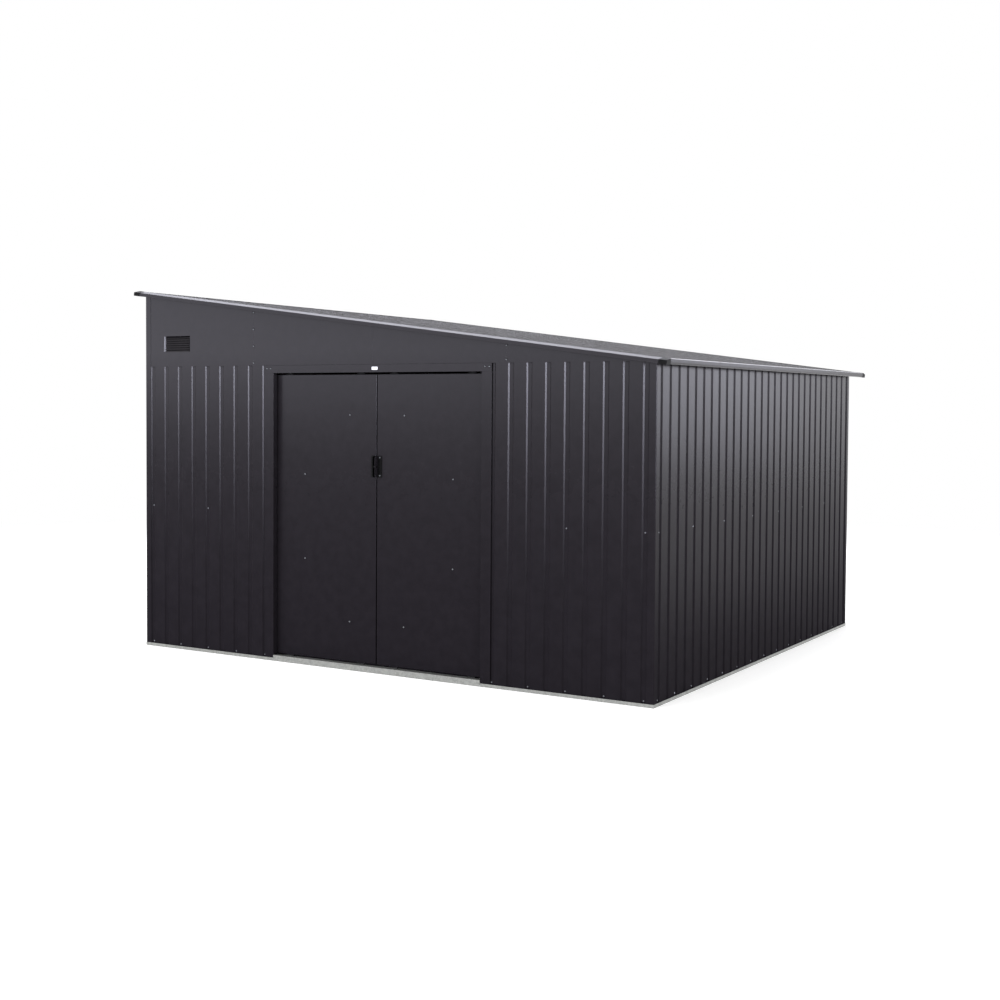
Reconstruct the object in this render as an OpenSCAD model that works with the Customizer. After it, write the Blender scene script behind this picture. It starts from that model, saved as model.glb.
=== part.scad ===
// Lean-to metal storage shed: ribbed steel walls on a channel base, a single-slope roof, and two doors
// that hang on rollers and slide apart behind the front wall.
// The front faces -Y, the high wall is at -X and the low wall at +X. The origin is on the ground, under
// the middle of the roof. All sizes are in millimetres.

/* [Shed] */
// Width between the outer faces of the two side walls
width = 3410; // [2970:110:4510]
// Depth between the outer faces of the front and back walls
depth = 3190; // [1980:110:4400]
// Height of the foot of the gable sheets, where the ribbed sheets end
wall_h = 1720; // [1500:10:2000]
// Rise of the roof across the width
roof_rise = 440; // [300:10:600]
// Height of the roof's underside over the foot of the gable sheets, at the low wall
eave_gap = 8; // [8:1:20]

/* [Sheet and section steel] */
// Thickness of the wall, roof, door and trim sheets
sheet = 1.2; // [0.8:0.1:1.4]
// Thickness of the rails and channels
rail_t = 1.5; // [1.2:0.1:2]
// Gap between pieces that lie against each other
seat = 0.2; // [0.1:0.05:0.3]

/* [Ribs] */
// Distance between neighbouring grooves
rib_pitch = 110; // [90:5:140]
// Width of a groove or rib at the face of the sheet
groove_w = 36; // [32:1:42]
// Run of a wall groove's sloping sides, from the face to the floor
groove_run = 7; // [5:0.5:12]
// Depth of a wall groove
groove_d = 6; // [4:1:10]
// Run of a roof rib's sloping sides
roof_rib_run = 12.5; // [8:0.5:14.5]
// Height of a roof rib
roof_rib_h = 10; // [8:1:12]
// Number of rib pitches that one sheet covers
pitches_per_sheet = 4; // [2:1:6]

/* [Base] */
// Height of the base channel's outer lip
lip_h = 18; // [12:1:25]
// Height of the base channel's inner upstand
upstand_h = 60; // [40:1:80]
// Width of the base channel's floor flange, inside its upstand
base_flange = 20; // [10:1:20]
// Height of the door sill
sill_h = 34; // [26:1:36]

/* [Frame] */
// Width of each flange of a corner post
post_w = 38; // [30:1:39]
// Height of the upright flange of a wall rail
rail_h = 40; // [30:1:50]
// Width of the level flange of a wall rail
rail_deep = 19; // [12:1:20]
// Height of the middle of the mid rails
mid_rail_z = 870; // [600:10:1100]
// Width of the flanges of the rails under the roof's edge
rake_w = 40; // [30:1:45]
// Number of roof beams
beam_count = 3; // [2:1:4]
// Width of a roof beam
beam_w = 40; // [30:1:60]
// Height of a roof beam
beam_h = 60; // [40:1:80]

/* [Gable and vent] */
// Number of sheets in each gable, and in the upper part of the high wall
gable_sheets = 4; // [3:1:5]
// Height of the ribbed sheets' tops behind the foot of the gable sheets
gable_lap = 6; // [3:1:6]
// Width of the louvred vent
vent_w = 212; // [150:1:260]
// Height of the louvred vent
vent_h = 97; // [80:1:120]
// Distance of the vent's middle from the high wall
vent_x = 252; // [200:1:300]
// Height of the vent's middle over the foot of the gable sheets
vent_rise = 137; // [110:1:180]
// Depth of the vent's frame
vent_d = 16; // [14:1:20]
// Run of the vent's side reveals, which slope inwards at 45 degrees
vent_reveal = 12; // [8:1:14]
// Number of slats in the vent
slat_count = 7; // [5:1:9]
// Tilt of the slats
slat_tilt = 60; // [45:5:65]
// Width of the vent's collar, behind the gable sheet
vent_collar = 8; // [5:1:12]

/* [Doorway] */
// Clear width between the jambs
door_clear = 1406; // [1200:2:1500]
// Width of a jamb's face
jamb_w = 62; // [40:1:65]
// Depth of a jamb's return, from the wall's face
jamb_d = 30; // [20:1:30]
// Height of the door header's face
header_h = 44; // [42:1:60]

/* [Doors] */
// Setback of the doors' faces from the wall's face
door_setback = 38; // [36:1:44]
// Thickness of a door
door_t = 22; // [18:1:26]
// Height of the doors' lower edges
door_foot = 39; // [39:1:45]
// Gap between the doors' upper edges and the header
door_head_gap = 9; // [8:1:20]
// Overlap of a closed door behind its jamb
door_lap = 25; // [15:1:40]
// Gap between the closed doors
door_meet = 5; // [5:1:8]
// Width of the lip that is folded round a door's back
door_lip = 15; // [10:1:25]
// Width of a door's diagonal braces
brace_w = 34; // [25:1:45]
// Depth of a door's diagonal braces
brace_d = 12; // [8:1:14]

/* [Door running gear] */
// Outer width of the top track
track_w = 48; // [46:1:60]
// Height of the top track
track_h = 38; // [36:1:40]
// Width of the slot along the track's underside
track_slot = 16; // [14:1:18]
// Diameter of a roller
roller_d = 26; // [20:1:28]
// Width of a roller
roller_w = 9; // [6:1:10]
// Running gap between the rollers and the track
roller_gap = 0.3; // [0.2:0.1:0.5]
// Thickness of a roller's hanger plate
hanger_t = 4; // [3:0.5:5]
// Distance of the hangers and guides from the door's edges
hanger_inset = 110; // [60:5:200]
// Outer width of the bottom guide rail
guide_w = 26; // [24:1:28]
// Height of the bottom guide rail
guide_h = 30; // [20:1:31]
// Thickness of a guide shoe
shoe_t = 8; // [6:1:10]

/* [Door handles] */
// Height of the middle of the handles
handle_z = 1152; // [900:1:1250]
// Height of a handle
handle_h = 118; // [90:1:150]
// Width of a handle's plate
handle_w = 28; // [20:1:35]
// Projection of a handle's flange in front of the door
handle_out = 30; // [20:1:32]
// Thickness of a handle's plate and flange
handle_t = 3; // [2:0.5:4]
// Distance of a handle's flange from the door's meeting edge
handle_edge = 5; // [3:1:10]
// Diameter of the padlock hole
padlock_d = 11; // [8:1:14]

/* [Roof] */
// Overhang of the roof at the front and back
verge_overhang = 80; // [60:1:120]
// Overhang of the roof at the low wall
low_overhang = 90; // [60:1:120]
// Overhang of the roof at the high wall
high_overhang = 28; // [26:1:60]
// Depth of the roof trims below the roof's underside
trim_drop = 17; // [12:1:24]
// Width of the trims' upper flanges
trim_top = 45; // [30:1:60]
// Width of the trims' lower flanges
trim_lip = 18; // [10:1:18]
// Wall thickness of a corner cap
cap_t = 1.6; // [1.2:0.1:2]
// Step from the trims to the corner caps
cap_proud = 1; // [0.5:0.1:1]

/* [Hidden] */
$fn = 48;

painted = "#3b3b42";
painted_door = "#38383e";
galvanised = "#b9bab4";
black_plastic = "#1d1d1f";
nylon = "#2a2a2c";

// Plan: the roof is centred on the origin.
x_high = -(width + low_overhang + high_overhang) / 2 + high_overhang;
x_low = x_high + width;
y_front = -depth / 2;
y_back = depth / 2;

// Layers of a wall, from its outer face at 0: covers lie outside the gable sheets, rails behind the grooves.
skin_y = -seat - sheet;
cover_y = 2 * skin_y;
lip_y = cover_y - seat - rail_t;
frame_y = groove_d + sheet + seat;
sheet_z = rail_t + seat;
sheet_edge = frame_y + rail_t;
wall_rib = [groove_run, groove_d];
roof_rib = [roof_rib_run, roof_rib_h];

// Doorway and doors, along the front from the high corner.
jamb_in = (width - door_clear) / 2;
jamb_out = jamb_in - jamb_w;
fold_room = sheet + 2 * seat;
front_sheet_end = jamb_in - sheet - fold_room;
header_z = wall_h - header_h;
door_x0 = jamb_in - door_lap;
door_x1 = width / 2 - door_meet / 2;
door_top = header_z - door_head_gap;
door_mid = door_setback + door_t / 2;
sill_back = door_mid - guide_w / 2 - seat;
track_top = wall_h - rail_t - seat;
track_z = track_top - track_h;
rail_end = post_w + rail_deep;

// Roof: its own axes run down the slope, with the underside of the sheets at 0.
slope = atan(roof_rise / width);
roof_z = wall_h + eave_gap;
rib_top = roof_rib_h + sheet;
trim_over = rib_top + seat + sheet;
cap_over = trim_over + cap_proud;
cap_drop = trim_drop + cap_proud;
cap_len = trim_top + cap_proud + seat;
eave_reach = (low_overhang - cap_over * sin(slope)) / cos(slope);
ridge_reach = (width + high_overhang - cap_drop * sin(slope)) / cos(slope);
sheet_inset = cap_proud + sheet + seat;
long = 2 * (width + depth);

function roof_under(x) = roof_z + roof_rise * (width - x) / width;
function reversed(v) = [for (i = [len(v) - 1 : -1 : 0]) v[i]];

// Each wall is drawn as the front is: along +X from 0, with its outer face at Y = 0 and facing -Y.
module on_front() { translate([x_high, y_front, 0]) children(); }
module on_low_side() { translate([x_low, y_front, 0]) rotate(90) children(); }
module on_back() { translate([x_low, y_back, 0]) rotate(180) children(); }
module on_high_side() { translate([x_high, y_back, 0]) rotate(-90) children(); }
module front_mirrored() { on_front() translate([width, 0, 0]) mirror([1, 0, 0]) children(); }
module back_mirrored() { on_back() translate([width, 0, 0]) mirror([1, 0, 0]) children(); }

// Roof axes: +X runs down the slope from the low wall's face, and Y = 0 is the front wall's face.
module on_roof() { translate([x_low, y_front, roof_z]) rotate([0, slope, 0]) children(); }

// Extrudes a section, drawn with Y across and Z up, along X.
module along_x(x0, x1) {
    translate([x0, 0, 0]) rotate([90, 0, 90]) linear_extrude(x1 - x0) children();
}

// Cuts off what reaches above a plane that lies below the roof's underside by drop.
module cut_to_roof(drop) {
    difference() {
        children();
        on_roof() translate([-long, -long, -drop]) cube([2 * long, 2 * long, long]);
    }
}

// Ribbed sheets

// A rib is given by the run and the depth of its sloping sides. The sheet's back lies o behind its face, and
// its bends lie b further from the middle of the groove.
function bend(rib) = sheet * tan(atan2(rib[1], rib[0]) / 2);
function half_groove(rib, o, b) = [[groove_w / 2 - rib[0] + b, rib[1] + o], [groove_w / 2 + b, o]];
function groove_from_floor(c, rib, o, b) = concat([[c + seat / 2, rib[1] + o]],
    [for (p = half_groove(rib, o, b)) [c + p[0], p[1]]]);
function groove_to_floor(c, rib, o, b) = concat(
    [for (p = reversed(half_groove(rib, o, b))) [c - p[0], p[1]]], [[c - seat / 2, rib[1] + o]]);
function groove(c, rib, o, b) = concat(
    [for (p = reversed(half_groove(rib, o, b))) [c - p[0], p[1]]],
    [for (p = half_groove(rib, o, b)) [c + p[0], p[1]]]);

// One face of a sheet that runs from groove first to groove last, or to an end of the wall.
function sheet_face(x0, x1, grooves, rib, first, last, o, b) = concat(
    first < 0 ? [[x0, o]] : groove_from_floor(grooves[first], rib, o, b),
    [for (k = [first + 1 : 1 : last - 1]) each groove(grooves[k], rib, o, b)],
    last >= len(grooves) ? [[x1, o]] : groove_to_floor(grooves[last], rib, o, b));

// Outlines of the ribbed sheets side by side from x0 to x1. They meet on the floors of grooves.
module ribbed_outlines(x0, x1, grooves, rib) {
    n = len(grooves);
    seams = [for (k = [pitches_per_sheet : pitches_per_sheet : n - 2]) k];
    firsts = concat([-1], seams);
    lasts = concat(seams, [n]);
    for (i = [0 : len(firsts) - 1])
        polygon(concat(sheet_face(x0, x1, grooves, rib, firsts[i], lasts[i], 0, 0),
            reversed(sheet_face(x0, x1, grooves, rib, firsts[i], lasts[i], sheet, bend(rib)))));
}

// Middles of the grooves along a wall, with even margins at its corners, as far as x_end.
function groove_row(length, x_end) =
    let (n = floor(length / rib_pitch), margin = (length - (n - 1) * rib_pitch) / 2)
    [for (k = [0 : n - 1])
        if (margin + k * rib_pitch + groove_w / 2 + bend(wall_rib) + seat < x_end) margin + k * rib_pitch];

module ribbed_wall(length, x_end, top) {
    color(painted) translate([0, 0, sheet_z]) linear_extrude(top - sheet_z)
        ribbed_outlines(sheet_edge, x_end, groove_row(length, x_end), wall_rib);
}

// Base: a galvanised channel that the wall sheets stand in

module base_rail_outline() {
    inner = frame_y + rail_t + base_flange;
    polygon([[lip_y, 0], [inner, 0], [inner, rail_t], [frame_y + rail_t, rail_t],
        [frame_y + rail_t, upstand_h], [frame_y, upstand_h], [frame_y, rail_t],
        [lip_y + rail_t, rail_t], [lip_y + rail_t, lip_h], [lip_y, lip_h]]);
}

// A run of base channel with mitred ends. A run that stops at the doorway is cut square at x_stop.
module base_rail(length, x_stop) {
    inner = frame_y + rail_t + base_flange;
    square_end = x_stop < length;
    color(galvanised) intersection() {
        along_x(lip_y, length - lip_y) base_rail_outline();
        linear_extrude(upstand_h) polygon([[lip_y + seat, lip_y],
            [square_end ? x_stop : length - lip_y - seat, lip_y],
            [square_end ? x_stop : length - inner - seat, inner],
            [inner + seat, inner]]);
    }
}

module front_base_rails() {
    on_front() base_rail(width, jamb_in - sheet - seat);
    front_mirrored() base_rail(width, jamb_in - sheet - seat);
}
module low_side_base_rail() { on_low_side() base_rail(depth, depth); }
module high_side_base_rail() { on_high_side() base_rail(depth, depth); }
module back_base_rail() { on_back() base_rail(width, width); }

// The sill is a sheet folded down at its front and back.
module door_sill() {
    color(galvanised) on_front() along_x(jamb_in + seat, width - jamb_in - seat)
        difference() {
            translate([lip_y, 0]) square([sill_back - lip_y, sill_h]);
            translate([lip_y + rail_t, -rail_t]) square([sill_back - lip_y - 2 * rail_t, sill_h]);
        }
}

// Corner posts: angles that cover the ends of the wall sheets

module corner_post() {
    color(painted) cut_to_roof(2 * seat) children();
}
module post_angle() {
    translate([0, 0, sheet_z]) linear_extrude(wall_h + 2 * roof_rise)
        polygon([[cover_y, cover_y], [post_w, cover_y], [post_w, cover_y + sheet],
            [cover_y + sheet, cover_y + sheet], [cover_y + sheet, post_w], [cover_y, post_w]]);
}
module front_high_corner_post() { corner_post() on_front() post_angle(); }
module front_low_corner_post() { corner_post() front_mirrored() post_angle(); }
module back_high_corner_post() { corner_post() back_mirrored() post_angle(); }
module back_low_corner_post() { corner_post() on_back() post_angle(); }

// Walls

module front_wall_left() { on_front() ribbed_wall(width, front_sheet_end, wall_h + gable_lap); }
module front_wall_right() { front_mirrored() ribbed_wall(width, front_sheet_end, wall_h + gable_lap); }
module low_side_wall() { on_low_side() ribbed_wall(depth, depth - sheet_edge, roof_z - 2 * seat); }
module high_side_wall() { on_high_side() ribbed_wall(depth, depth - sheet_edge, wall_h + gable_lap); }
module back_wall() { on_back() ribbed_wall(width, width - sheet_edge, wall_h + gable_lap); }

// Gables: plain sheets over the ribbed ones, cut to the roof

module gable_sheet(i) {
    x0 = i * width / gable_sheets + seat / 2;
    x1 = (i + 1) * width / gable_sheets - seat / 2;
    translate([0, -seat, 0]) rotate([90, 0, 0]) linear_extrude(sheet)
        polygon([[x0, wall_h], [x1, wall_h],
            [x1, roof_under(x1) - 2 * seat], [x0, roof_under(x0) - 2 * seat]]);
}
module gable() {
    color(painted) difference() {
        for (i = [0 : gable_sheets - 1])
            gable_sheet(i);
        translate([vent_x - vent_w / 2 - seat, skin_y - sheet, wall_h + vent_rise - vent_h / 2 - seat])
            cube([vent_w + 2 * seat, 3 * sheet, vent_h + 2 * seat]);
    }
}
module front_gable() { on_front() gable(); }
module back_gable() { back_mirrored() gable(); }

module high_side_upper_wall() {
    span = depth / gable_sheets;
    color(painted) on_high_side() for (i = [0 : gable_sheets - 1])
        translate([i * span + seat / 2, skin_y, wall_h])
            cube([span - seat, sheet, roof_under(0) - 2 * seat - wall_h]);
}

// Vents: a frame in the gable sheet, with a collar behind the sheet and slats that shed rain

// Plan of the vent's opening, which narrows inwards between the side reveals.
module vent_opening() {
    half = vent_w / 2 - rail_t;
    polygon([[-half, -sheet], [half, -sheet], [half, 0], [half - vent_reveal, vent_reveal],
        [half - vent_reveal, vent_d + sheet], [vent_reveal - half, vent_d + sheet],
        [vent_reveal - half, vent_reveal], [-half, 0]]);
}
module vent() {
    slat_step = (vent_h - 2 * rail_t) / slat_count;
    slat_l = vent_w - 2 * rail_t - vent_reveal * 4 / 3;
    translate([vent_x, skin_y, wall_h + vent_rise]) color(painted) {
        difference() {
            union() {
                translate([-vent_w / 2, 0, -vent_h / 2]) cube([vent_w, vent_d, vent_h]);
                translate([-vent_w / 2 - vent_collar, sheet + seat, -vent_h / 2 - vent_collar])
                    cube([vent_w + 2 * vent_collar, rail_t, vent_h + 2 * vent_collar]);
            }
            translate([0, 0, -vent_h / 2 + rail_t]) linear_extrude(vent_h - 2 * rail_t) vent_opening();
        }
        intersection() {
            translate([-vent_w / 2, 0, -vent_h / 2]) cube([vent_w, vent_d, vent_h]);
            for (i = [0 : slat_count - 1])
                translate([-slat_l / 2, vent_d / 2, -vent_h / 2 + rail_t + (i + 0.5) * slat_step])
                    rotate([slat_tilt, 0, 0]) translate([0, -vent_d / 2, -sheet / 2])
                        cube([slat_l, vent_d, sheet]);
        }
    }
}
module front_vent() { on_front() vent(); }
module back_vent() { back_mirrored() vent(); }

// Door surround: two jambs with returns, and a header that hides the track

// Depth of the front sheet's face at a place along the wall.
function face_depth(x) =
    let (near = min([for (c = groove_row(width, front_sheet_end)) abs(x - c)]))
    max(0, min(groove_d, (groove_w / 2 - near) * groove_d / groove_run));

// A jamb's outer edge is turned back to the face of the wall sheet, where it lies on the floor of a groove.
module jamb() {
    turn_in = min(face_depth(jamb_out), face_depth(jamb_out + sheet)) - seat;
    color(painted) translate([0, 0, sheet_z]) linear_extrude(header_z - seat - sheet_z)
        polygon([[jamb_out, cover_y], [jamb_in, cover_y], [jamb_in, jamb_d], [jamb_in - sheet, jamb_d],
            [jamb_in - sheet, cover_y + sheet], [jamb_out + sheet, cover_y + sheet],
            [jamb_out + sheet, turn_in], [jamb_out, turn_in]]);
}
module left_jamb() { on_front() jamb(); }
module right_jamb() { front_mirrored() jamb(); }

module door_header() {
    top = wall_h - seat;
    color(painted) on_front() {
        translate([jamb_out, cover_y, header_z]) cube([width - 2 * jamb_out, sheet, top - header_z]);
        for (z = [header_z, top - sheet])
            translate([jamb_in, cover_y, z]) cube([door_clear, frame_y - seat - cover_y, sheet]);
    }
}

// Rails behind the wall sheets

module angle_rail_outline(y, z, up, deep) {
    polygon([[y, z], [y + deep, z], [y + deep, z + rail_t], [y + rail_t, z + rail_t],
        [y + rail_t, z + up], [y, z + up]]);
}

// A top rail is an upright web, cut to the roof, with a level flange at the height of the gable's foot.
module top_rail(deep) {
    color(galvanised) along_x(rail_end, width - rail_end) {
        translate([frame_y, wall_h - rail_h]) square([rail_t, rail_h + rail_h / 2]);
        translate([frame_y, wall_h - rail_t]) square([deep, rail_t]);
    }
}
module front_top_rail() {
    cut_to_roof(rail_t + 2 * seat) on_front() top_rail(door_mid + track_w / 2 - frame_y);
}
module back_top_rail() { cut_to_roof(rail_t + 2 * seat) on_back() top_rail(rail_deep); }

module low_side_top_rail() {
    top = roof_under(width - frame_y) - seat;
    color(galvanised) on_low_side() along_x(rake_w + 2 * seat, depth - rake_w - 2 * seat)
        angle_rail_outline(frame_y, top - rail_h, rail_h, rake_w);
}
module high_side_top_rail() {
    top = roof_under(rail_t) - 2 * seat;
    color(galvanised) on_high_side() along_x(rake_w + 2 * seat, depth - rake_w - 2 * seat)
        angle_rail_outline(0, top - rail_h, rail_h, rake_w);
}
module high_side_lap_rail() {
    color(galvanised) on_high_side() along_x(rail_end, depth - rail_end)
        angle_rail_outline(frame_y, wall_h + gable_lap - rail_h, rail_h, rail_deep);
}

module mid_rail(x0, x1) {
    color(galvanised) along_x(x0, x1) angle_rail_outline(frame_y, mid_rail_z - rail_h / 2, rail_h, rail_deep);
}
module front_mid_rails() {
    on_front() mid_rail(rail_end, front_sheet_end);
    front_mirrored() mid_rail(rail_end, front_sheet_end);
}
module side_mid_rails() {
    on_low_side() mid_rail(rail_end, depth - rail_end);
    on_high_side() mid_rail(rail_end, depth - rail_end);
}
module back_mid_rail() { on_back() mid_rail(rail_end, width - rail_end); }

// Roof frame: an angle behind each gable's upper edge, and beams from gable to gable

module rake_rail() {
    x_top = -(width - seat) / cos(slope) + rake_w * tan(slope);
    color(galvanised) difference() {
        on_roof() along_x(x_top, -(sheet_edge + seat) / cos(slope)) {
            translate([seat, -rake_w]) square([rail_t, rake_w - seat]);
            translate([seat, -rail_t - seat]) square([rake_w - seat, rail_t]);
        }
        translate([-long, -long, wall_h + gable_lap + seat - long]) cube([2 * long, 2 * long, long]);
    }
}
module front_rake_rail() { rake_rail(); }
module back_rake_rail() { mirror([0, 1, 0]) rake_rail(); }

module beam_outline() {
    difference() {
        translate([-beam_w / 2, -beam_h - seat]) square([beam_w, beam_h]);
        translate([-beam_w / 2 + rail_t, -beam_h - seat + rail_t]) square([beam_w, beam_h - 2 * rail_t]);
    }
}

// The beams are channels that end at the rake rails' webs, notched to pass under the rake rails' flanges.
module roof_beams() {
    end = rail_t + 2 * seat;
    color(galvanised) on_roof() for (i = [1 : beam_count])
        translate([-i * width / (beam_count + 1) / cos(slope), 0, 0]) difference() {
            translate([0, depth - end, 0]) rotate([90, 0, 0]) linear_extrude(depth - 2 * end) beam_outline();
            for (y = [0, depth - rake_w - seat])
                translate([-beam_w, y, -end]) cube([2 * beam_w, rake_w + seat, 2 * end]);
        }
}

// Roof skin: ribbed sheets that run down the slope, with folded trims and corner caps

module roof_sheets() {
    y0 = -verge_overhang + sheet_inset;
    y1 = depth + verge_overhang - sheet_inset;
    ribs = [for (y = groove_row(y1 - y0, y1 - y0)) y0 + y];
    color(painted) on_roof() along_x(-ridge_reach + sheet_inset, eave_reach - sheet_inset)
        ribbed_outlines(y0, y1, ribs, roof_rib);
}

// Sections of the trims, with their faces at 0 and the roof behind them on the + side. An eave trim lies on the
// ribs. A verge trim's upper flange slopes from the sheet's edge up to the height of the ribs.
module eave_outline() {
    translate([0, -trim_drop]) square([sheet, trim_drop + trim_over]);
    translate([0, trim_over - sheet]) square([trim_top, sheet]);
    translate([0, -trim_drop]) square([trim_lip, sheet]);
}
module verge_outline() {
    top = trim_over - roof_rib_h;
    polygon([[0, -trim_drop], [trim_lip, -trim_drop], [trim_lip, sheet - trim_drop], [sheet, sheet - trim_drop],
        [sheet, top - sheet + sheet * roof_rib_h / trim_top], [trim_top, trim_over - sheet],
        [trim_top, trim_over], [0, top]]);
}

module verge_trim() {
    color(painted) on_roof() along_x(-ridge_reach + cap_len + seat, eave_reach - cap_len - seat)
        translate([-verge_overhang + cap_proud, 0]) verge_outline();
}
module front_verge_trim() { verge_trim(); }
module back_verge_trim() { mirror([0, 1, 0]) verge_trim(); }

// Eave trims are drawn facing up the slope, in one half length and two whole lengths.
module eave_trim() {
    y0 = -verge_overhang + cap_len + seat;
    y1 = depth + verge_overhang - cap_len - seat;
    joints = [y0, y0 + (y1 - y0) / 5, y0 + (y1 - y0) * 3 / 5, y1];
    for (i = [0 : 2])
        translate([0, joints[i + 1] - (i < 2 ? seat : 0), 0]) rotate([90, 0, 0])
            linear_extrude(joints[i + 1] - joints[i] - (i < 2 ? seat : 0)) eave_outline();
}
module low_eave_trim() {
    color(painted) on_roof() translate([eave_reach - cap_proud, 0, 0]) mirror([1, 0, 0]) eave_trim();
}
module high_eave_trim() {
    color(painted) on_roof() translate([-ridge_reach + cap_proud, 0, 0]) eave_trim();
}

// A cap is a hood that is open to the two trims it joins, with the verge trim's slope on top. It is drawn with
// its corner at 0.
module cap_outline(wall) {
    polygon([[wall, wall - cap_drop], [cap_len + wall, wall - cap_drop],
        [cap_len + wall, cap_over - wall + wall * roof_rib_h / cap_len],
        [wall, cap_over - roof_rib_h - wall + wall * roof_rib_h / cap_len]]);
}
module corner_cap() {
    difference() {
        along_x(0, cap_len) cap_outline(0);
        along_x(cap_t, cap_len + cap_t) cap_outline(cap_t);
    }
}
module roof_corner_caps() {
    color(black_plastic) on_roof() {
        for (back = [0, 1])
            translate([0, back * depth, 0]) mirror([0, back, 0]) {
                translate([-ridge_reach, -verge_overhang, 0]) corner_cap();
                translate([eave_reach, -verge_overhang, 0]) mirror([1, 0, 0]) corner_cap();
            }
    }
}

// Door running rails: a slotted track under the top rail, and a channel on the ground

module door_track() {
    color(galvanised) on_front() along_x(rail_end, width - rail_end)
        translate([door_mid, track_z]) difference() {
            translate([-track_w / 2, 0]) square([track_w, track_h]);
            translate([-track_w / 2 + rail_t, rail_t]) square([track_w - 2 * rail_t, track_h - 2 * rail_t]);
            translate([-track_slot / 2, -rail_t]) square([track_slot, 3 * rail_t]);
        }
}
module door_guide_rail() {
    color(galvanised) on_front() along_x(rail_end, width - rail_end)
        translate([door_mid, 0]) difference() {
            translate([-guide_w / 2, 0]) square([guide_w, guide_h]);
            translate([-guide_w / 2 + rail_t, rail_t]) square([guide_w - 2 * rail_t, guide_h]);
        }
}

// Doors: the left one is drawn, and the right one is its mirror image

// A sheet folded back round its four edges, with a lip round its open back.
module door_leaf() {
    w = door_x1 - door_x0;
    h = door_top - door_foot;
    color(painted_door) translate([door_x0, door_setback, door_foot]) difference() {
        cube([w, door_t, h]);
        translate([sheet, sheet, sheet]) cube([w - 2 * sheet, door_t - 2 * sheet, h - 2 * sheet]);
        translate([door_lip, door_t / 2, door_lip]) cube([w - 2 * door_lip, door_t, h - 2 * door_lip]);
    }
}

// Two channels from the middle of the outer edge to the corners at the meeting edge, behind the face.
module door_braces() {
    inset = sheet + seat;
    mid_z = (door_foot + door_top) / 2;
    x_out = door_x0 + inset;
    x_in = door_x1 - inset;
    half_h = (door_top - door_foot) / 2 - inset - brace_w;
    run = [x_in - x_out, half_h];
    apart = brace_w * 3 / 4;
    tilt = atan2(run[1], run[0]);
    color(painted_door) intersection() {
        translate([x_out, door_setback + inset, door_foot + inset])
            cube([x_in - x_out, door_t - 2 * inset, door_top - door_foot - 2 * inset]);
        for (side = [1, -1])
            translate([x_out, door_setback + inset, mid_z + side * apart])
                rotate([0, -side * tilt, 0]) difference() {
                    translate([-brace_w, 0, -brace_w / 2]) cube([norm(run) + 3 * brace_w, brace_d, brace_w]);
                    translate([-2 * brace_w, rail_t, -brace_w / 2 + rail_t])
                        cube([norm(run) + 5 * brace_w, brace_d, brace_w - 2 * rail_t]);
                }
    }
}

// A plate on the door with a flange at the meeting edge, which takes a padlock through both doors.
module door_handle() {
    x1 = door_x1 - handle_edge;
    z0 = handle_z - handle_h / 2;
    corner = handle_out / 2;
    color(black_plastic) {
        translate([x1 - handle_w, door_setback - seat - handle_t, z0]) cube([handle_w, handle_t, handle_h]);
        translate([x1, door_setback - seat, z0]) rotate([0, -90, 0]) linear_extrude(handle_t) difference() {
            union() {
                translate([0, -handle_out + corner]) square([handle_h, handle_out - corner]);
                translate([corner, -handle_out]) square([handle_h - 2 * corner, corner]);
                for (z = [corner, handle_h - corner])
                    translate([z, -handle_out + corner]) circle(corner);
            }
            translate([handle_h / 2, -handle_out + corner]) circle(d = padlock_d);
        }
    }
}

// A hanger plate on the door's upper edge with a roller on each side, and a nylon shoe under the lower edge.
module hanger() {
    plate_w = roller_d;
    foot_w = track_slot;
    axle_z = track_z + rail_t + roller_gap + roller_d / 2;
    roller_y = (track_slot / 2 + track_w / 2 - rail_t) / 2;
    translate([0, door_mid, 0]) {
        color(galvanised) {
            translate([-plate_w, -foot_w / 2, door_top + seat]) cube([2 * plate_w, foot_w, hanger_t]);
            translate([-plate_w / 2, -hanger_t / 2, door_top + seat])
                cube([plate_w, hanger_t, axle_z + roller_d / 4 - door_top - seat]);
        }
        translate([0, roller_y + roller_w / 2, axle_z]) rotate([90, 0, 0])
            cylinder(d = roller_d / 3, h = 2 * roller_y + roller_w);
        for (side = [-1, 1])
            color(nylon) translate([0, side * roller_y + roller_w / 2, axle_z]) rotate([90, 0, 0])
                cylinder(d = roller_d, h = roller_w);
    }
}
module guide_shoe() {
    shoe_l = 2 * roller_d;
    shoe_z = rail_t + hanger_t;
    color(nylon) translate([-shoe_l / 2, door_mid - shoe_t / 2, shoe_z])
        cube([shoe_l, shoe_t, door_foot - seat - shoe_z]);
}
module door_running_gear() {
    for (x = [door_x0 + hanger_inset, door_x1 - hanger_inset])
        translate([x, 0, 0]) {
            hanger();
            guide_shoe();
        }
}

module left_door() { on_front() door_leaf(); }
module left_door_braces() { on_front() door_braces(); }
module left_door_handle() { on_front() door_handle(); }
module left_door_running_gear() { on_front() door_running_gear(); }
module right_door() { front_mirrored() door_leaf(); }
module right_door_braces() { front_mirrored() door_braces(); }
module right_door_handle() { front_mirrored() door_handle(); }
module right_door_running_gear() { front_mirrored() door_running_gear(); }

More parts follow.
